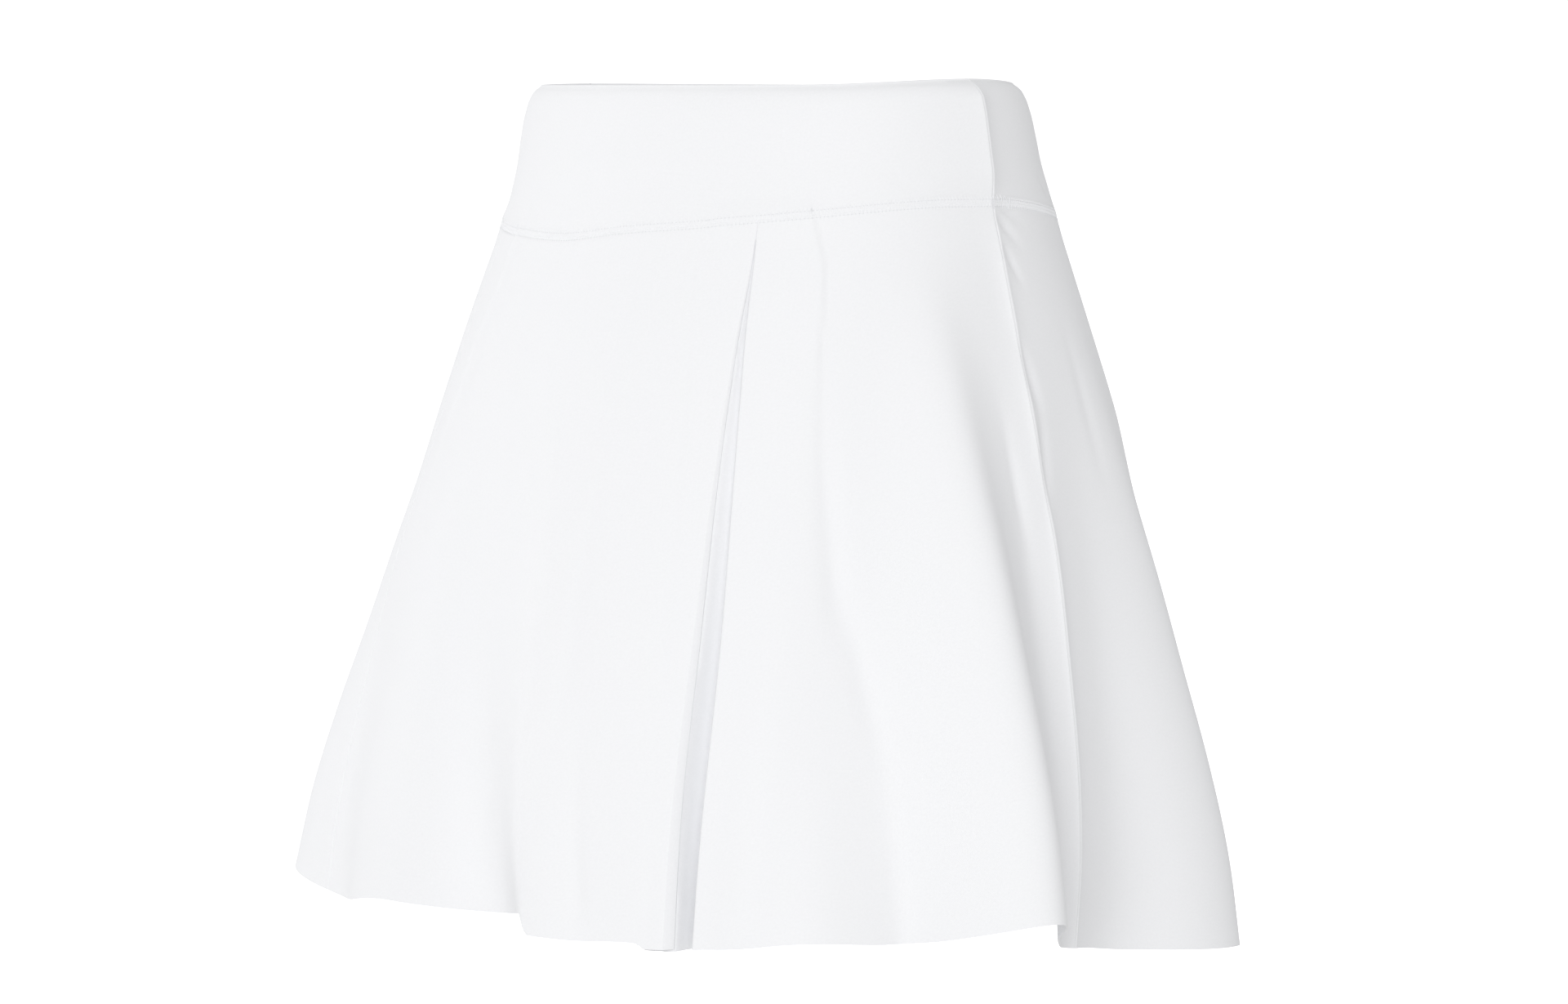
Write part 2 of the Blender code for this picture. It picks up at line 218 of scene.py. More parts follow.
# Inverted pleats, one on each side of the centre front: the angle of the
# opening, its clear width, half the width of the layer inside, the radius of
# the folded edges, how far the centre panel's edge turns in before its fold,
# how much deeper the inner layer lies at its far edge, and how much lower it
# hangs
PleatStation = namedtuple("PleatStation", "fraction angle gap half_width radius lip recess sag")
PLEAT = (
    PleatStation(0.00, 37.7, -0.0005, 0.0250, 0.0005, 0.0000, 0.0000, 0.0000),
    PleatStation(0.10, 37.4, 0.0016, 0.0248, 0.0005, 0.0003, 0.0010, 0.0002),
    PleatStation(0.20, 36.9, 0.0044, 0.0245, 0.0005, 0.0006, 0.0026, 0.0004),
    PleatStation(0.40, 35.9, 0.0090, 0.0240, 0.0005, 0.0014, 0.0055, 0.0006),
    PleatStation(0.60, 35.0, 0.0120, 0.0230, 0.0005, 0.0024, 0.0100, 0.0008),
    PleatStation(0.80, 33.8, 0.0132, 0.0215, 0.0005, 0.0032, 0.0130, 0.0010),
    PleatStation(1.00, 33.1, 0.0126, 0.0200, 0.0005, 0.0038, 0.0160, 0.0013),
)
BEND_RADIUS = 0.0008      # the crease where a pleat's lip turns in
LIP_TURN = 42.0           # degrees
SHOULDER = 0.002          # how far behind the edges the inner layer comes up to them
FALL_POWER = 1.8          # above 1 it falls faster beside the lip than at its far edge
RETURN_REACH = 0.0014     # behind a folded edge the cloth drops to the inner layer
RIGHT_OPENNESS = 0.03     # the right pleat hangs this far open, the left one fully
LEFT_OPENNESS = 1.0

# Where a sewn edge stands proud at a side seam: the crest's height, how far
# it reaches on the front and on the back, and how the last of it rolls in
Crest = namedtuple("Crest", "fraction height front back")
SKIRT_CREST = (
    Crest(0.00, 0.0030, 0.0150, 0.0100),
    Crest(0.10, 0.0030, 0.0045, 0.0060),
    Crest(0.40, 0.0033, 0.0042, 0.0060),
    Crest(0.80, 0.0024, 0.0040, 0.0050),
    Crest(1.00, 0.0012, 0.0040, 0.0040),
)
BAND_CREST = (
    Crest(0.00, 0.0030, 0.0200, 0.0120),
    Crest(0.15, 0.0060, 0.0180, 0.0105),
    Crest(0.70, 0.0060, 0.0180, 0.0105),
    Crest(1.00, 0.0030, 0.0150, 0.0100),
)
ROLL_RADIUS = 0.0007

# Creases: each runs straight along the cloth between two places, with its
# half-width, its depth (below 0) or height, and where along it is strongest.
# The fractions of its two places are of the length given here.
Crease = namedtuple("Crease", "angle fraction end_angle end_fraction width depth peak")
SKIRT_CREASE_LENGTH = 0.32
BAND_CREASE_LENGTH = 0.06
SKIRT_CREASES = (
    Crease(-24.0, 0.012, 0.0, 0.032, 0.0030, -0.0007, 0.4),     # under the waist seam
    Crease(-27.0, 0.050, -14.5, 0.230, 0.0016, -0.0003, 0.5),
    Crease(-20.0, 0.060, -7.0, 0.250, 0.0016, -0.0003, 0.5),
    Crease(-9.0, 0.180, 12.0, 0.600, 0.0050, -0.0008, 0.7),     # centre front
    Crease(11.5, 0.500, 16.0, 1.000, 0.0040, -0.0010, 0.6),
    Crease(1.5, 0.120, 10.5, 0.480, 0.0012, -0.0004, 0.6),
    Crease(17.4, 0.640, 21.2, 1.010, 0.0034, -0.0012, 0.8),
    Crease(29.5, 0.780, 29.4, 1.010, 0.0012, -0.0003, 0.8),
    Crease(-25.0, 0.100, -26.5, 0.320, 0.0040, -0.0004, 0.4),
    Crease(-33.0, 0.560, -30.0, 1.010, 0.0050, -0.0006, 0.7),
    Crease(41.0, 0.050, 40.5, 0.150, 0.0022, -0.0004, 0.5),     # beside the left pleat
    Crease(44.5, 0.040, 43.5, 0.150, 0.0045, 0.0005, 0.5),
    Crease(47.5, 0.300, 39.5, 1.080, 0.0125, 0.0038, 0.85),     # left of the front hollow
    Crease(50.8, 0.160, 52.6, 0.640, 0.0055, -0.0022, 0.70),    # the hollow's foot
    Crease(52.0, 0.450, 58.8, 0.820, 0.0065, -0.0024, 0.50),
    Crease(57.0, 0.600, 59.8, 1.120, 0.0085, -0.0030, 0.75),
    Crease(89.5, 0.003, 102.0, 0.028, 0.0017, -0.0012, 0.35),   # left side
    Crease(88.0, 0.010, 98.5, 0.062, 0.0022, -0.0016, 0.4),
    Crease(89.5, 0.050, 96.0, 0.120, 0.0024, -0.0012, 0.4),
    Crease(89.0, 0.150, 93.5, 0.300, 0.0040, -0.0016, 0.6),
    Crease(93.5, 0.260, 90.0, 0.460, 0.0040, -0.0014, 0.4),
    Crease(83.8, 0.250, 86.0, 0.520, 0.0034, -0.0012, 0.5),
    Crease(106.0, 0.120, 109.0, 0.420, 0.0040, -0.0007, 0.5),
    Crease(129.0, 0.030, 133.0, 0.260, 0.0035, -0.0007, 0.4),   # back
    Crease(148.0, 0.080, 152.0, 0.380, 0.0024, -0.0006, 0.5),
    Crease(165.0, 0.350, 168.0, 0.900, 0.0045, -0.0009, 0.6),
    Crease(-176.0, 0.020, -171.0, 0.240, 0.0026, -0.0006, 0.4),
    Crease(-163.0, 0.400, -160.0, 0.980, 0.0038, -0.0009, 0.7),
    Crease(-141.0, 0.050, -146.0, 0.330, 0.0030, -0.0006, 0.5),
    Crease(-122.0, 0.260, -119.0, 0.700, 0.0042, -0.0008, 0.4),
    Crease(-105.0, 0.060, -101.0, 0.300, 0.0030, -0.0009, 0.5),
    Crease(-86.0, 0.120, -84.0, 0.420, 0.0036, -0.0011, 0.5),   # right side
    Crease(-72.0, 0.020, -64.0, 0.180, 0.0028, -0.0006, 0.4),
    Crease(-58.0, 0.300, -60.0, 0.760, 0.0046, -0.0008, 0.6),
)
BAND_CREASES = (
    Crease(48.0, 0.860, 49.0, 1.020, 0.0007, -0.0005, 0.8),
    Crease(62.0, 0.700, 74.0, 0.930, 0.0030, -0.0003, 0.5),
    Crease(-58.0, 0.660, -50.0, 0.900, 0.0030, -0.0003, 0.5),
    Crease(112.0, 0.720, 122.0, 0.900, 0.0026, -0.0004, 0.5),
    Crease(150.0, 0.600, 158.0, 0.880, 0.0030, -0.0003, 0.5),
    Crease(-168.0, 0.640, -160.0, 0.900, 0.0030, -0.0004, 0.5),
    Crease(-124.0, 0.620, -117.0, 0.880, 0.0028, -0.0004, 0.5),
)

# The inner layer of each pleat shows through the panels over it, which stand
# out between its two edges: their angles, the height and each step's half-width
PressStation = namedtuple("PressStation", "fraction inner outer height inner_step outer_step")
PRESSED = (
    PressStation(0.00, 27.0, 48.8, 0.0008, 0.0020, 0.0007),
    PressStation(0.03, 27.4, 49.7, 0.0009, 0.0020, 0.0007),
    PressStation(0.06, 27.2, 50.8, 0.0009, 0.0020, 0.0007),
    PressStation(0.10, 27.7, 51.3, 0.0009, 0.0022, 0.0007),
    PressStation(0.14, 28.4, 51.1, 0.0009, 0.0022, 0.0009),
    PressStation(0.25, 29.2, 50.5, 0.0008, 0.0030, 0.0013),
    PressStation(0.37, 29.8, 50.5, 0.0006, 0.0040, 0.0022),
    PressStation(0.50, 30.2, 52.0, 0.0002, 0.0050, 0.0050),
    PressStation(0.60, 30.5, 53.5, 0.0000, 0.0050, 0.0050),
    PressStation(1.00, 30.5, 54.0, 0.0000, 0.0050, 0.0050),
)

# Knitting and thread
WALE = 0.00062            # between columns of stitches
COURSE = 0.00046          # between rows of stitches
STITCH_SLANT = 1.6        # how steeply a stitch's two legs meet
HEATHER_SCALE = 900.0
PLY_SCALE = 1600.0
HEATHER_RELIEF = 0.8      # shares of the relief
WAVE_RELIEF = 0.4
YARN_RELIEF = 3.0
RELIEF_STRENGTH = 0.35
RELIEF_DEPTH = 0.0001
KNIT_PALE = (0.935, 0.94, 0.955)
KNIT_DARK = (0.905, 0.91, 0.925)
THREAD_PALE = (0.93, 0.935, 0.95)
THREAD_DARK = (0.88, 0.885, 0.90)
# Painted shade at the needle holes: these darker colours stand in for the shade in them
HOLE_SHADE_PALE = (0.82, 0.825, 0.84)
HOLE_SHADE_DARK = (0.76, 0.765, 0.78)

# Camera: level with the waist, round to the wearer's left of the front
IMAGE_WIDTH = 1920
IMAGE_HEIGHT = 1229
METRES_PER_PIXEL = 0.000376
CAMERA_DISTANCE = 3.0
CAMERA_AZIMUTH = 45.0
AXIS_COLUMN = 955         # the image column of the waist's centre
WAIST_ROW = 100           # the image row of the waist's level
SENSOR_WIDTH = 36.0       # millimetres

# Studio
Lamp = namedtuple("Lamp", "name azimuth distance height width tall power")
LAMPS = (
    Lamp("front", 40, 3.2, 0.4, 2.0, 2.4, 42),
    Lamp("side", -72, 3.2, 0.4, 2.0, 2.4, 36),
)
LIT_POINT = (0.0, 0.0, -0.2)
ROOM_LIGHT = 0.645
BACKDROP_LIGHT = 1.2
FLOOR_LIGHT = 1.0
FLOOR_RADIUS = 60.0
WAIST_ABOVE_FLOOR = 1.03


def curve_through(places, values, at):
    """A smooth curve through a table's values (cubic, no overshoot)."""
    places = np.asarray(places, float)
    values = np.asarray(values, float)
    steps = np.diff(places)
    slopes = np.diff(values) / steps
    tangents = np.zeros(len(values))
    tangents[0] = slopes[0]
    tangents[-1] = slopes[-1]
    same_way = slopes[:-1] * slopes[1:] > 0
    mean = (slopes[:-1] * steps[1:] + slopes[1:] * steps[:-1]) / (steps[1:] + steps[:-1])
    least = np.minimum(abs(slopes[:-1]), abs(slopes[1:]))
    limited = np.sign(mean) * np.minimum(abs(mean), 3 * least)
    tangents[1:-1] = np.where(same_way, limited, 0.0)
    at = np.clip(at, places[0], places[-1])
    cell = np.clip(np.searchsorted(places, at, side="right") - 1, 0, len(steps) - 1)
    step = steps[cell]
    t = (at - places[cell]) / step
    start = values[cell] * (1 + 2 * t) * (1 - t) ** 2
    end = values[cell + 1] * (3 - 2 * t) * t ** 2
    leave = tangents[cell] * step * t * (1 - t) ** 2
    arrive = tangents[cell + 1] * step * t ** 2 * (t - 1)
    return start + end + leave + arrive


def column(table, name, at):
    """One column of a table, read at any place along its first column."""
    places = [row[0] for row in table]
    values = [getattr(row, name) for row in table]
    return curve_through(places, values, at)


def column_round(table, name, angle):
    """One column of a table whose first column is an angle round the body."""
    places = [row[0] for row in table]
    values = [getattr(row, name) for row in table]
    places = [p - 360 for p in places] + places + [p + 360 for p in places]
    return curve_through(places, values * 3, wrap(angle))


def wrap(angle):
    """The same angle, from -180 up to 180."""
    return (np.asarray(angle, float) + 180) % 360 - 180


def smooth(t):
    """From 0 to 1 with level ends."""
    t = np.clip(t, 0, 1)
    return t * t * (3 - 2 * t)


def fold_shift(angle, fraction):
    """How far the soft folds stand out, and how far they lean round."""
    shape = np.broadcast(angle, fraction).shape
    height = np.zeros(shape)
    lean = np.zeros(shape)
    for fold in FOLDS:
        ridge = fold.seam_angle + (fold.hem_angle - fold.seam_angle) * fraction
        across = wrap(angle - ridge) / fold.spread
        along = np.clip((fraction - fold.start) / (1 - fold.start), 0, 1)
        eased = along ** 2 * (1 + EASE) / (along + EASE)
        rise = eased + fold.early * eased * (1 - eased)
        height += fold.height * rise * np.exp(-across ** 2)
        lean += fold.lean * rise * np.exp(-across ** 2)
    return height, lean


def crease_height(creases, sections, length, angle, fraction):
    """How far the creases raise the cloth at each place."""
    radius = column(sections, "half_width", fraction)
    height = np.zeros(np.broadcast(angle, fraction).shape)
    for crease in creases:
        middle = (crease.angle + crease.end_angle) / 2
        start_radius = column(sections, "half_width", crease.fraction)
        end_radius = column(sections, "half_width", crease.end_fraction)
        start = np.array([math.radians(crease.angle - middle) * start_radius,
                          crease.fraction * length])
        end = np.array([math.radians(crease.end_angle - middle) * end_radius,
                        crease.end_fraction * length])
        reach = math.dist(start, end)
        way = (end - start) / reach
        side = np.radians(wrap(angle - middle)) * radius - start[0]
        down = fraction * length - start[1]
        along = (side * way[0] + down * way[1]) / reach
        across = (side * way[1] - down * way[0]) / crease.width
        before = smooth(along / crease.peak)
        after = smooth((1 - along) / (1 - crease.peak))
        height += crease.depth * np.minimum(before, after) * np.exp(-across ** 2)
    return height


def step_up(distance, half_width):
    """From 0 to 1 across a soft step."""
    return smooth(distance / half_width / 2 + 0.5)


def pressed_height(angle, fraction):
    """How far the panels stand out over the pleats' inner layers."""
    radius = column(SKIRT_SECTIONS, "half_width", fraction)
    near = np.abs(wrap(angle))
    from_inner = np.radians(near - column(PRESSED, "inner", fraction)) * radius
    from_outer = np.radians(column(PRESSED, "outer", fraction) - near) * radius
    inner_edge = step_up(from_inner, column(PRESSED, "inner_step", fraction))
    outer_edge = step_up(from_outer, column(PRESSED, "outer_step", fraction))
    return column(PRESSED, "height", fraction) * inner_edge * outer_edge


def section_point(table, angle, fraction, drop, out):
    """A point of a section, moved outwards from the body's axis."""
    turn = np.radians(angle)
    across = column(table, "half_width", fraction) + out
    deep = column(table, "half_depth", fraction) + out
    x = across * np.sin(turn)
    y = -deep * np.cos(turn) - column(table, "forward", fraction)
    z = -drop + np.zeros_like(x)
    return np.stack([x, y, z], axis=-1)


def crest_height(table, sections, angle, fraction):
    """How far the cloth stands proud beside the side seams."""
    height = np.zeros(np.broadcast(angle, fraction).shape)
    radius = column(sections, "half_width", fraction)
    for side in (-1, 1):
        beyond = wrap(side * angle - column(SIDE_SEAM, "angle", seam_place(sections, fraction)))
        distance = np.radians(beyond) * radius
        front = np.exp(np.minimum(distance, 0) / column(table, "front", fraction))
        back = np.exp(-np.maximum(distance, 0) / column(table, "back", fraction))
        height += column(table, "height", fraction) * np.where(distance < 0, front, back)
    return height


def seam_place(sections, fraction):
    """Where along SIDE_SEAM a fraction lies: the waistband's seam is upright."""
    return fraction if sections is SKIRT_SECTIONS else np.zeros_like(fraction)


def band_height(angle):
    """The waistband's height at each angle."""
    top = column_round(TOP_EDGE, "drop", angle)
    return column_round(SEAM_LINE, "drop", angle) - SEAM_GAP / 2 - top


def band_point(angle, fraction, out):
    """A point of the waistband's middle surface, moved outwards."""
    top = column_round(TOP_EDGE, "drop", angle)
    drop = top + band_height(angle) * fraction
    proud = crest_height(BAND_CREST, BAND_SECTIONS, angle, fraction)
    creased = crease_height(BAND_CREASES, BAND_SECTIONS, BAND_CREASE_LENGTH, angle, fraction)
    pressed = pressed_height(angle, 0.0) * near_seam(angle, fraction)
    return section_point(BAND_SECTIONS, angle, fraction, drop, out + proud + creased + pressed)


def near_seam(angle, fraction):
    """From 0 up to 1 over the waistband's last stretch above the waist seam."""
    return smooth(1 - (1 - fraction) * band_height(angle) / PART_REACH)


def seam_bulk(angle):
    """How thick the pleats' folded layers are where they are sewn in."""
    first = PLEAT[0]
    away = np.radians(np.abs(np.abs(wrap(angle)) - first.angle)) * BAND_SECTIONS[-1].half_width
    return 4 * first.radius * step_up(first.half_width - away, BULK_STEP)


def outer_offset(angle, fraction):
    """From the waistband's middle surface to its outer layer's."""
    return BAND_FOLD + np.zeros(np.broadcast(angle, fraction).shape)


def inner_offset(angle, fraction):
    """From the waistband's middle surface to its inner layer's, below 0."""
    parted = 2 * PARTED - 2 * BAND_FOLD + seam_bulk(angle)
    return -BAND_FOLD - parted * near_seam(angle, fraction)


def skirt_point(angle, fraction, inward, sag=0.0):
    """A point of the skirt's middle surface; the hem rises where it flares."""
    seam = column_round(SEAM_LINE, "drop", angle)
    length = column_round(SEAM_LINE, "length", angle)
    flare = SKIRT_SECTIONS[-1].half_width - SKIRT_SECTIONS[0].half_width
    reach = flare + fold_shift(angle, 1.0)[0]
    hang = np.sqrt(length ** 2 - reach ** 2)
    drop = seam + SEAM_GAP / 2 + hang * fraction + sag
    height, lean = fold_shift(angle, fraction)
    height = height + crest_height(SKIRT_CREST, SKIRT_SECTIONS, angle, fraction)
    creased = crease_height(SKIRT_CREASES, SKIRT_SECTIONS, SKIRT_CREASE_LENGTH, angle, fraction)
    height = height + creased
    height = height + pressed_height(angle, fraction)
    height = height + RAISED * smooth(1 - fraction / RAISED_REACH)
    radius = column(SKIRT_SECTIONS, "half_width", fraction)
    leaning = angle + np.degrees(lean / radius)
    return section_point(SKIRT_SECTIONS, leaning, fraction, drop, height - inward)


def side_seam(fraction):
    """The side seam's angle, and half of its gap as an angle."""
    radius = column(SKIRT_SECTIONS, "half_width", fraction)
    return column(SIDE_SEAM, "angle", fraction), np.degrees(SEAM_GAP / 2 / radius)


def pleat_half(fraction, openness, lip):
    """Offsets through half a pleat, from its panel's edge to its middle.

    They are the distances along the cloth from the middle, the distances
    inwards, and each point's share of the inner layer's sag. With a lip the
    panel's edge first bends and runs straight inwards, and then folds back.
    """
    closed = PLEAT[0].gap
    gap = closed + (column(PLEAT, "gap", fraction) - closed) * openness
    radius = column(PLEAT, "radius", fraction)
    inner = column(PLEAT, "half_width", fraction) - radius
    recess = column(PLEAT, "recess", fraction) * openness
    lip_length = column(PLEAT, "lip", fraction) * openness
    lip_turn = math.radians(LIP_TURN)
    lip_depth = BEND_RADIUS * (1 - np.cos(lip_turn)) + lip_length * np.tan(lip_turn)
    near_edge = lip_depth + radius * np.cos(lip_turn) + SKIRT_WALL / 2
    far_edge = recess + radius + SKIRT_WALL / 2
    lean, length, depth = (lip_turn, lip_length, lip_depth) if lip else (0.0, 0.0, 0.0)
    layer = 4 * radius + (lip_depth if lip else recess)
    shown, other = (near_edge, far_edge) if lip else (far_edge, near_edge)
    bend = np.linspace(0, lean, BEND_STEPS + 1)[:-1] if lip else np.zeros(0)
    turn = np.linspace(lean, np.pi, TURN_STEPS + 1)
    back = np.linspace(0, 1, RETURN_STEPS + 1)[1:-1] ** 2
    inner_turn = np.linspace(0, np.pi, TURN_STEPS + 1)
    across = -np.linspace(1, 0, UNDERLAY_STEPS // 2 + 1)[1:] ** 2

    fold = BEND_RADIUS * np.sin(lean) + radius * (1 - np.sin(lean))
    edge = -(gap + SKIRT_WALL) / 2 - fold
    foot = edge + BEND_RADIUS * np.sin(lean) + length
    turn_along = foot + radius * (np.sin(turn) - np.sin(lean))
    turn_inward = depth + radius * (np.cos(lean) - np.cos(turn))
    under = layer - 2 * radius
    return_along = (inner + turn_along[-1]) * back
    dropped = smooth(return_along / RETURN_REACH)
    place = inner * across
    risen = smooth(1 + (place + gap / 2) / SHOULDER)
    from_lip = place if lip else -place
    clear = max(gap - lip_length, radius)
    past_lip = np.clip((from_lip + gap / 2 - lip_length) / clear, 0, 1)
    fallen = 1 - (1 - past_lip) ** FALL_POWER
    fallen = fallen if lip else 1 - fallen
    along = np.concatenate([
        edge + BEND_RADIUS * np.sin(bend),
        turn_along,
        turn_along[-1] - return_along,
        -inner - radius * np.sin(inner_turn),
        place,
    ])
    inward = np.concatenate([
        BEND_RADIUS * (1 - np.cos(bend)),
        turn_inward,
        turn_inward[-1] + (under - turn_inward[-1]) * dropped,
        under + radius * (1 - np.cos(inner_turn)),
        layer + (shown - layer) * risen + (other - shown) * fallen,
    ])
    share = np.concatenate([
        np.zeros(len(bend) + len(turn)),
        back,
        np.ones(len(inner_turn) + len(across)),
    ])
    return along, inward, column(PLEAT, "sag", fraction) * openness * share


def pleat_section(fraction, openness):
    """Offsets along the cloth, inwards and down, through a pleat, centre panel first."""
    along, inward, down = pleat_half(fraction, openness, True)
    far_along, far_inward, far_down = pleat_half(fraction, openness, False)
    along = np.concatenate([along, -far_along[-2::-1]])
    inward = np.concatenate([inward, far_inward[-2::-1]])
    down = np.concatenate([down, far_down[-2::-1]])
    return along, inward, down


def roll_in(distance, radius=ROLL_RADIUS):
    """How far a sewn edge rolls inwards this near its seam."""
    near = np.clip(1 - distance / radius, 0, 1)
    return radius * (1 - np.sqrt(1 - near ** 2))


def panel_steps(start, end, steps, edge, bias=1.0):
    """Angles across a panel, close together in a strip at its end."""
    wide = start + (end - edge - start) * np.linspace(0, 1, steps + 1) ** bias
    narrow = end - edge * (1 - np.linspace(0, 1, EDGE_STEPS + 1)[1:]) ** 1.5
    return np.concatenate([wide, narrow])


def front_section(fraction):
    """Angles, inward and downward offsets across the front and its pleats."""
    mirrored = pleat_section(fraction, RIGHT_OPENNESS)
    right_along, right_inward, right_down = (offsets[::-1] for offsets in mirrored)
    left_along, left_inward, left_down = pleat_section(fraction, LEFT_OPENNESS)
    radius = column(SKIRT_SECTIONS, "half_width", fraction)
    opening = column(PLEAT, "angle", fraction)
    seam, half_gap = side_seam(fraction)
    side = seam - half_gap
    edge = np.degrees(EDGE_STRIP / radius)
    right_pleat = -opening - np.degrees(right_along / radius)
    left_pleat = opening + np.degrees(left_along / radius)
    right_panel = -panel_steps(-right_pleat[0], side, SIDE_PANEL_STEPS, edge, PLEAT_BIAS)[:0:-1]
    centre_panel = np.linspace(right_pleat[-1], left_pleat[0], CENTRE_PANEL_STEPS + 1)[1:-1]
    left_panel = panel_steps(left_pleat[-1], side, SIDE_PANEL_STEPS, edge, PLEAT_BIAS)[1:]
    right_roll = roll_in(np.radians(right_panel + side) * radius)
    left_roll = roll_in(np.radians(side - left_panel) * radius)
    flat_centre = np.zeros(len(centre_panel))
    angles = np.concatenate([right_panel, right_pleat, centre_panel, left_pleat, left_panel])
    inwards = np.concatenate([right_roll, right_inward, flat_centre, left_inward, left_roll])
    downs = np.concatenate([0 * right_roll, right_down, flat_centre, left_down, 0 * left_roll])
    return angles, inwards, downs


def back_section(fraction):
    """Angles, inward and downward offsets across the back, which has no pleats."""
    radius = column(SKIRT_SECTIONS, "half_width", fraction)
    seam, half_gap = side_seam(fraction)
    side = seam + half_gap
    edge = np.degrees(EDGE_STRIP / radius)
    half = panel_steps(0, 180 - side, BACK_STEPS // 2, edge)
    angles = 180 + np.concatenate([-half[:0:-1], half])
    roll = roll_in(np.radians(np.minimum(angles - side, 360 - side - angles)) * radius)
    return angles, roll, np.zeros(len(roll))


def tucked_point(angle, above, inward):
    """A point of the skirt's middle surface inside the waistband."""
    return band_point(angle, 1 - above / band_height(angle), TUCKED - inward)


def skirt_points(section):
    """Rows of points down the front or back, from inside the waistband to the hem."""
    angles, inwards, _ = section(0.0)
    rows = [tucked_point(angles, above, inwards) for above in TUCK_ROWS]
    for fraction in np.linspace(0, 1, SKIRT_ROWS + 1) ** ROW_BIAS:
        angles, inwards, downs = section(fraction)
        rows.append(skirt_point(angles, fraction, inwards, downs))
    return np.array(rows)


def band_points(first_angle, last_angle):
    """The doubled waistband: up its inside, over the fold and down its outside."""
    span = last_angle - first_angle
    edge = np.degrees(EDGE_STRIP / BAND_SECTIONS[0].half_width)
    half = panel_steps(0, span / 2, BAND_COLUMNS // 2, edge)
    angles = first_angle + span / 2 + np.concatenate([-half[:0:-1], half])
    across = np.radians(np.minimum(angles - first_angle, last_angle - angles))
    roll = roll_in(across * BAND_SECTIONS[0].half_width)
    fold = np.linspace(0, np.pi, FOLD_STEPS + 1)
    rolling = EDGE_ROLL * 1.5 / np.mean(band_height(angles))
    down = panel_steps(0, 1, BAND_ROWS, rolling)[1:]
    rows = []
    for fraction in down[::-1]:
        rows.append(band_point(angles, fraction, inner_offset(angles, fraction) - roll))
    for turn in fold:
        lifted = band_point(angles, 0.0, -BAND_FOLD * np.cos(turn) - roll)
        lifted[:, 2] += BAND_FOLD * np.sin(turn)
        rows.append(lifted)
    for fraction in down * (1 + OVERLAP / band_height(angles).mean()):
        above = (1 - fraction) * band_height(angles) + OVERLAP
        edge_roll = roll_in(above, EDGE_ROLL)
        rows.append(band_point(angles, fraction, outer_offset(angles, fraction) - roll - edge_roll))
    return np.array(rows)


def seam_surface(angle, above, lift):
    """A point over the outer face beside the waist seam, above it or below."""
    fraction = 1 - np.maximum(above, 0) / band_height(angle)
    band_out = outer_offset(angle, fraction) + BAND_LAYER / 2 + lift
    on_band = band_point(angle, fraction, band_out)
    below = np.maximum(-above, 0) / column_round(SEAM_LINE, "length", angle)
    on_skirt = skirt_point(angle, below, -SKIRT_WALL / 2 - lift)
    return np.where((above > 0)[..., None], on_band, on_skirt)


def waist_stitches(first_angle, last_angle):
    """Paths of the waist seam's threads between two angles."""
    radius = BAND_SECTIONS[-1].half_width
    count = round(math.radians(last_angle - first_angle) * radius / STITCH_PITCH)
    pitch = (last_angle - first_angle) / count
    along = np.linspace(-0.5, 0.5, 5)
    arch = THREAD_RADIUS * (0.6 - 5 * along ** 2)
    paths = []
    for row in STITCH_ROWS:
        for stitch in range(count):
            middle = first_angle + (stitch + 0.5) * pitch
            angle = middle + along * pitch * STITCH_LENGTH / STITCH_PITCH
            paths.append(seam_surface(angle, np.full(len(along), row), arch))
    turns = first_angle + pitch * np.arange(2 * count + 1) / 2
    steps = np.linspace(0, 2 * count, 10 * count + 1)
    swing = np.abs((steps + 1) % 2 - 1)
    above = ZIGZAG_BOTTOM + (ZIGZAG_TOP - ZIGZAG_BOTTOM) * swing
    lift = THREAD_RADIUS * (0.3 - 4 * (swing - 0.5) ** 2)
    paths.append(seam_surface(np.interp(steps, range(2 * count + 1), turns), above, lift))
    return paths


def crossing_loops():
    """Paths of the thicker loops behind both side seams, their ends in the cloth."""
    along = np.linspace(0, 1, 9)
    lift = LOOP_RADIUS * (2.2 * np.sin(np.pi * along) - 0.8)
    paths = []
    for side in (1, -1):
        for loop in LOOPS:
            behind = loop.behind + (loop.end_behind - loop.behind) * along
            above = loop.above + (loop.end_above - loop.above) * along
            paths.append(seam_surface(side * (SIDE_SEAM[0].angle + behind), above, lift))
    return paths


def painted_hole_shade(first_angle, last_angle):
    """Corners of the patches of painted shade at the small holes between the waist seam's stitches.
    """
    radius = BAND_SECTIONS[-1].half_width
    count = round(math.radians(last_angle - first_angle) * radius / STITCH_PITCH)
    middles = np.linspace(first_angle, last_angle, count + 1)[1:-1, None]
    turn = np.linspace(0, 2 * np.pi, SHADE_PATCH_CORNERS + 1)[:-1]
    across = np.degrees(SHADE_PATCH_RADIUS * np.cos(turn) / radius)
    rows = []
    for row in STITCH_ROWS:
        above = row + SHADE_PATCH_RADIUS * np.sin(turn) + 0 * middles
        rows.append(seam_surface(middles + across, above, SHADE_PATCH_LIFT))
    return np.concatenate(rows)


def arc_lengths(points, axis):
    """Distances along the cloth, in metres, from one edge."""
    steps = np.linalg.norm(np.diff(points, axis=axis), axis=-1)
    start = np.zeros_like(np.take(steps, [0], axis=axis))
    return np.cumsum(np.concatenate([start, steps], axis=axis), axis=axis)


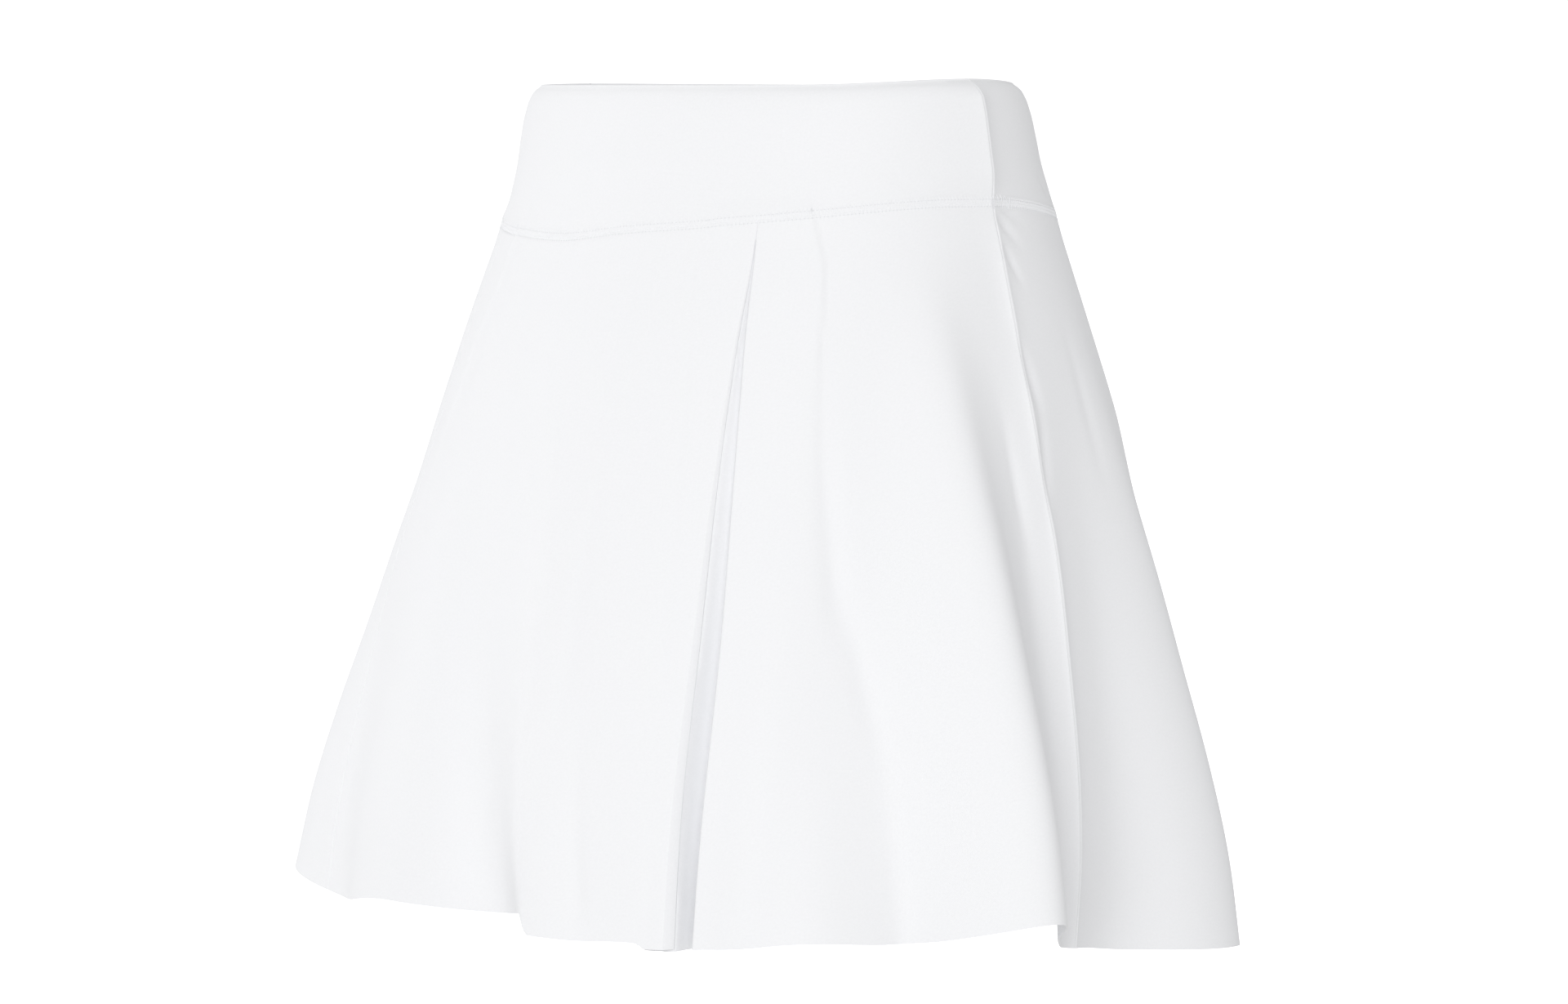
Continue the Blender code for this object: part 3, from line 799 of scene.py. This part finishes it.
class Nodes:
    """A material's node tree, with short calls to add and join its nodes."""

    def __init__(self, name):
        self.material = bpy.data.materials.new(name)
        self.material.use_nodes = True
        self.tree = self.material.node_tree
        self.shader = self.tree.nodes["Principled BSDF"]

    def add(self, kind, **settings):
        node = self.tree.nodes.new("ShaderNode" + kind)
        for key, value in settings.items():
            setattr(node, key, value)
        return node

    def join(self, source, target):
        self.tree.links.new(source, target)

    def math(self, operation, *values):
        node = self.add("Math", operation=operation)
        for socket, value in zip(node.inputs, values):
            if isinstance(value, (int, float)):
                socket.default_value = value
            else:
                self.join(value, socket)
        return node.outputs[0]


def knit_stitches(tree, place):
    """The relief of plain knitting: columns of small V-shaped stitches."""
    split = tree.add("SeparateXYZ")
    tree.join(place, split.inputs[0])
    column_place = tree.math("FRACT", tree.math("DIVIDE", split.outputs["X"], WALE))
    course_place = tree.math("DIVIDE", split.outputs["Y"], COURSE)
    aside = tree.math("ABSOLUTE", tree.math("SUBTRACT", column_place, 0.5))
    slanted = tree.math("MULTIPLY_ADD", aside, STITCH_SLANT, course_place)
    wave = tree.math("SINE", tree.math("MULTIPLY", slanted, 2 * math.pi))
    leg = tree.math("PINGPONG", aside, 0.25)
    yarn = tree.math("MULTIPLY", leg, YARN_RELIEF)
    return tree.math("MULTIPLY_ADD", wave, WAVE_RELIEF, yarn)


def knit_material(name, pale, dark):
    """Matt jersey: fine knitting, a soft heather and a trace of sheen."""
    tree = Nodes(name)
    place = tree.add("UVMap", uv_map="cloth").outputs[0]
    heather = tree.add("TexNoise")
    heather.inputs["Scale"].default_value = HEATHER_SCALE
    heather.inputs["Detail"].default_value = 3.0
    heather.inputs["Roughness"].default_value = 0.7
    tree.join(place, heather.inputs["Vector"])
    shade = tree.add("ValToRGB")
    shade.color_ramp.elements[0].position = 0.3
    shade.color_ramp.elements[0].color = (*dark, 1.0)
    shade.color_ramp.elements[1].position = 0.7
    shade.color_ramp.elements[1].color = (*pale, 1.0)
    tree.join(heather.outputs[0], shade.inputs[0])
    tree.join(shade.outputs[0], tree.shader.inputs["Base Color"])
    stitches = knit_stitches(tree, place)
    relief = tree.math("MULTIPLY_ADD", heather.outputs[0], HEATHER_RELIEF, stitches)
    bump = tree.add("Bump")
    bump.inputs["Strength"].default_value = RELIEF_STRENGTH
    bump.inputs["Distance"].default_value = RELIEF_DEPTH
    tree.join(relief, bump.inputs["Height"])
    tree.join(bump.outputs[0], tree.shader.inputs["Normal"])
    tree.shader.inputs["Roughness"].default_value = 0.9
    tree.shader.inputs["Specular IOR Level"].default_value = 0.2
    tree.shader.inputs["Sheen Weight"].default_value = 0.05
    return tree.material


def thread_material(name, pale, dark):
    """Two plies twisted round each other, for the thread and, in darker colours, for the painted
    shade at its needle holes.
    """
    tree = Nodes(name)
    place = tree.add("TexCoord").outputs["Object"]
    plies = tree.add("TexWave", wave_type="BANDS", bands_direction="DIAGONAL")
    plies.inputs["Scale"].default_value = PLY_SCALE
    tree.join(place, plies.inputs["Vector"])
    shade = tree.add("ValToRGB")
    shade.color_ramp.elements[0].color = (*dark, 1.0)
    shade.color_ramp.elements[1].color = (*pale, 1.0)
    tree.join(plies.outputs["Fac"], shade.inputs[0])
    tree.join(shade.outputs[0], tree.shader.inputs["Base Color"])
    tree.shader.inputs["Roughness"].default_value = 0.7
    tree.shader.inputs["Specular IOR Level"].default_value = 0.3
    return tree.material


def cloth_piece(name, points, wall, material):
    """A sheet through rows of points, given its wall, with a UV map in metres."""
    down, across = points.shape[0] - 1, points.shape[1] - 1
    corner = np.arange(down)[:, None] * (across + 1) + np.arange(across)
    faces = np.stack([corner, corner + across + 1, corner + across + 2, corner + 1], axis=-1)
    mesh = bpy.data.meshes.new(name)
    mesh.from_pydata(points.reshape(-1, 3), [], faces.reshape(-1, 4).tolist())
    along = arc_lengths(points, 1)
    along -= along[:, [along.shape[1] // 2]]
    fall = arc_lengths(points, 0)
    uv = np.stack([along, -fall], axis=-1).reshape(-1, 2)
    layer = mesh.uv_layers.new(name="cloth")
    corners = np.zeros(len(mesh.loops), int)
    mesh.loops.foreach_get("vertex_index", corners)
    layer.data.foreach_set("uv", uv[corners].ravel())
    mesh.materials.append(material)
    piece = bpy.data.objects.new(name, mesh)
    bpy.context.scene.collection.objects.link(piece)
    shell = piece.modifiers.new("wall", "SOLIDIFY")
    shell.thickness = wall
    shell.offset = 0.0
    shell.use_even_offset = True
    shell.use_quality_normals = True
    apply_modifiers(piece)
    piece.data.shade_smooth()
    piece.data.set_sharp_from_angle(angle=math.radians(SHARP_EDGE))
    return piece


def apply_modifiers(piece):
    """Replace a piece's mesh by its evaluated one."""
    graph = bpy.context.evaluated_depsgraph_get()
    finished = bpy.data.meshes.new_from_object(piece.evaluated_get(graph))
    old = piece.data
    piece.modifiers.clear()
    piece.data = finished
    bpy.data.meshes.remove(old)


def thread_piece(name, paths, radius, material):
    """Round threads along their paths, as one mesh."""
    curve = bpy.data.curves.new(name, "CURVE")
    curve.dimensions = "3D"
    curve.bevel_depth = radius
    curve.bevel_resolution = 1
    for path in paths:
        spline = curve.splines.new("POLY")
        spline.points.add(len(path) - 1)
        places = np.concatenate([path, np.ones((len(path), 1))], axis=1)
        spline.points.foreach_set("co", places.ravel())
    curve.materials.append(material)
    bent = bpy.data.objects.new(name + "_path", curve)
    bpy.context.scene.collection.objects.link(bent)
    graph = bpy.context.evaluated_depsgraph_get()
    mesh = bpy.data.meshes.new_from_object(bent.evaluated_get(graph))
    piece = bpy.data.objects.new(name, mesh)
    bpy.context.scene.collection.objects.link(piece)
    bpy.data.objects.remove(bent)
    mesh.shade_smooth()
    return piece


def shade_patch_piece(name, corners, material):
    """Small flat patches over the cloth, painted shade at each needle hole."""
    count, sides = corners.shape[:2]
    mesh = bpy.data.meshes.new(name)
    faces = np.arange(count * sides).reshape(count, sides)
    mesh.from_pydata(corners.reshape(-1, 3), [], faces.tolist())
    mesh.materials.append(material)
    piece = bpy.data.objects.new(name, mesh)
    bpy.context.scene.collection.objects.link(piece)
    return piece


def make_sewing():
    """The waist seam's threads, the painted shade at its needle holes, and its crossing loops."""
    thread = thread_material("thread", THREAD_PALE, THREAD_DARK)
    # darker colours for the patches of painted shade at the needle holes
    shade = thread_material("hole_painted_shade", HOLE_SHADE_PALE, HOLE_SHADE_DARK)
    side = SIDE_SEAM[0].angle
    for name, first, last in (("front", -side, side), ("back", side, 360 - side)):
        paths = waist_stitches(first, last)
        stitches = thread_piece("waist_stitches_" + name, paths, THREAD_RADIUS, thread)
        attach(stitches, BODY)
        # flat patches of painted shade at the needle holes
        holes = shade_patch_piece("painted_hole_shade_" + name, painted_hole_shade(first, last), shade)
        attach(holes, BODY)
    loops = thread_piece("crossing_loops", crossing_loops(), LOOP_RADIUS, thread)
    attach(loops, BODY)


def make_cloth():
    """The waistband's two halves and the skirt's front and back."""
    knit = knit_material("knit", KNIT_PALE, KNIT_DARK)
    half_gap = math.degrees(SEAM_GAP / 2 / BAND_SECTIONS[0].half_width)
    side = SIDE_SEAM[0].angle
    pieces = (
        ("waistband_front", band_points(-side + half_gap, side - half_gap), BAND_LAYER,
         "band_knit", (0.41, 0.135), 0.050),
        ("waistband_back", band_points(side + half_gap, 360 - side - half_gap), BAND_LAYER,
         "band_knit", (0.41, 0.135), 0.050),
        ("skirt_front", skirt_points(front_section), SKIRT_WALL, "skirt_knit", (0.93, 0.35), 0.235),
        ("skirt_back", skirt_points(back_section), SKIRT_WALL, "skirt_knit", (0.76, 0.36), 0.192),
    )
    for node, points, wall, slot, flat, area in pieces:
        piece = cloth_piece(node + "_cloth", points, wall, knit)
        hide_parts(node)
        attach(piece, BODY)


def area_light(name, place, target, width, height, power):
    """A soft white rectangular light that faces its target."""
    light = bpy.data.lights.new(name, "AREA")
    light.shape = "RECTANGLE"
    light.size = width
    light.size_y = height
    light.energy = power
    holder = bpy.data.objects.new(name, light)
    holder.location = place
    holder.rotation_euler = (Vector(target) - Vector(place)).to_track_quat("-Z", "Y").to_euler()
    bpy.context.scene.collection.objects.link(holder)


def polar(azimuth, distance, height):
    """A place round the body: azimuth as for the cloth's angles."""
    turn = math.radians(azimuth)
    return Vector((distance * math.sin(turn), -distance * math.cos(turn), height))


def make_studio():
    """White surround, with one soft lamp beside the camera and one at the wearer's right."""
    world = bpy.data.worlds.new("studio")
    bpy.context.scene.world = world
    world.use_nodes = True
    nodes, links = world.node_tree.nodes, world.node_tree.links
    light = nodes["Background"]
    light.inputs["Strength"].default_value = ROOM_LIGHT
    seen = nodes.new("ShaderNodeBackground")
    seen.inputs["Strength"].default_value = BACKDROP_LIGHT
    for part in (light, seen):
        part.inputs["Color"].default_value = (1.0, 1.0, 1.0, 1.0)
    path = nodes.new("ShaderNodeLightPath")
    mix = nodes.new("ShaderNodeMixShader")
    links.new(path.outputs["Is Camera Ray"], mix.inputs[0])
    links.new(light.outputs[0], mix.inputs[1])
    links.new(seen.outputs[0], mix.inputs[2])
    links.new(mix.outputs[0], nodes["World Output"].inputs[0])
    for lamp in LAMPS:
        place = polar(lamp.azimuth, lamp.distance, lamp.height)
        area_light(lamp.name, place, LIT_POINT, lamp.width, lamp.tall, lamp.power)


def make_floor():
    """A pale floor at a standing wearer's feet."""
    material = bpy.data.materials.new("floor")
    material.use_nodes = True
    shader = material.node_tree.nodes["Principled BSDF"]
    shader.inputs["Base Color"].default_value = (0.9, 0.9, 0.9, 1.0)
    shader.inputs["Roughness"].default_value = 0.9
    shader.inputs["Emission Color"].default_value = (1.0, 1.0, 1.0, 1.0)
    shader.inputs["Emission Strength"].default_value = FLOOR_LIGHT
    bpy.ops.mesh.primitive_circle_add(vertices=96, radius=FLOOR_RADIUS, fill_type="NGON",
                                      location=(0.0, 0.0, -WAIST_ABOVE_FLOOR))
    floor = bpy.context.object
    floor.name = "floor"
    floor.data.materials.append(material)
    floor.visible_diffuse = False
    floor.visible_glossy = False


def make_camera():
    """A camera level with the waist, framed by the waist's place in the image."""
    turn = math.radians(CAMERA_AZIMUTH)
    right = Vector((math.cos(turn), math.sin(turn), 0.0))
    place = Vector((math.sin(turn), -math.cos(turn), 0.0)) * CAMERA_DISTANCE
    aim = right * ((IMAGE_WIDTH / 2 - AXIS_COLUMN) * METRES_PER_PIXEL)
    aim.z = -(IMAGE_HEIGHT / 2 - WAIST_ROW) * METRES_PER_PIXEL
    camera = bpy.data.cameras.new("camera")
    camera.sensor_width = SENSOR_WIDTH
    camera.lens = SENSOR_WIDTH * CAMERA_DISTANCE / METRES_PER_PIXEL / IMAGE_WIDTH
    holder = bpy.data.objects.new("camera", camera)
    holder.location = place
    holder.rotation_euler = (aim - place).to_track_quat("-Z", "Y").to_euler()
    bpy.context.scene.collection.objects.link(holder)
    bpy.context.scene.camera = holder
    bpy.context.scene.view_settings.view_transform = "Standard"


def main():
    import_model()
    make_cloth()
    make_sewing()
    make_floor()
    make_studio()
    make_camera()


main()
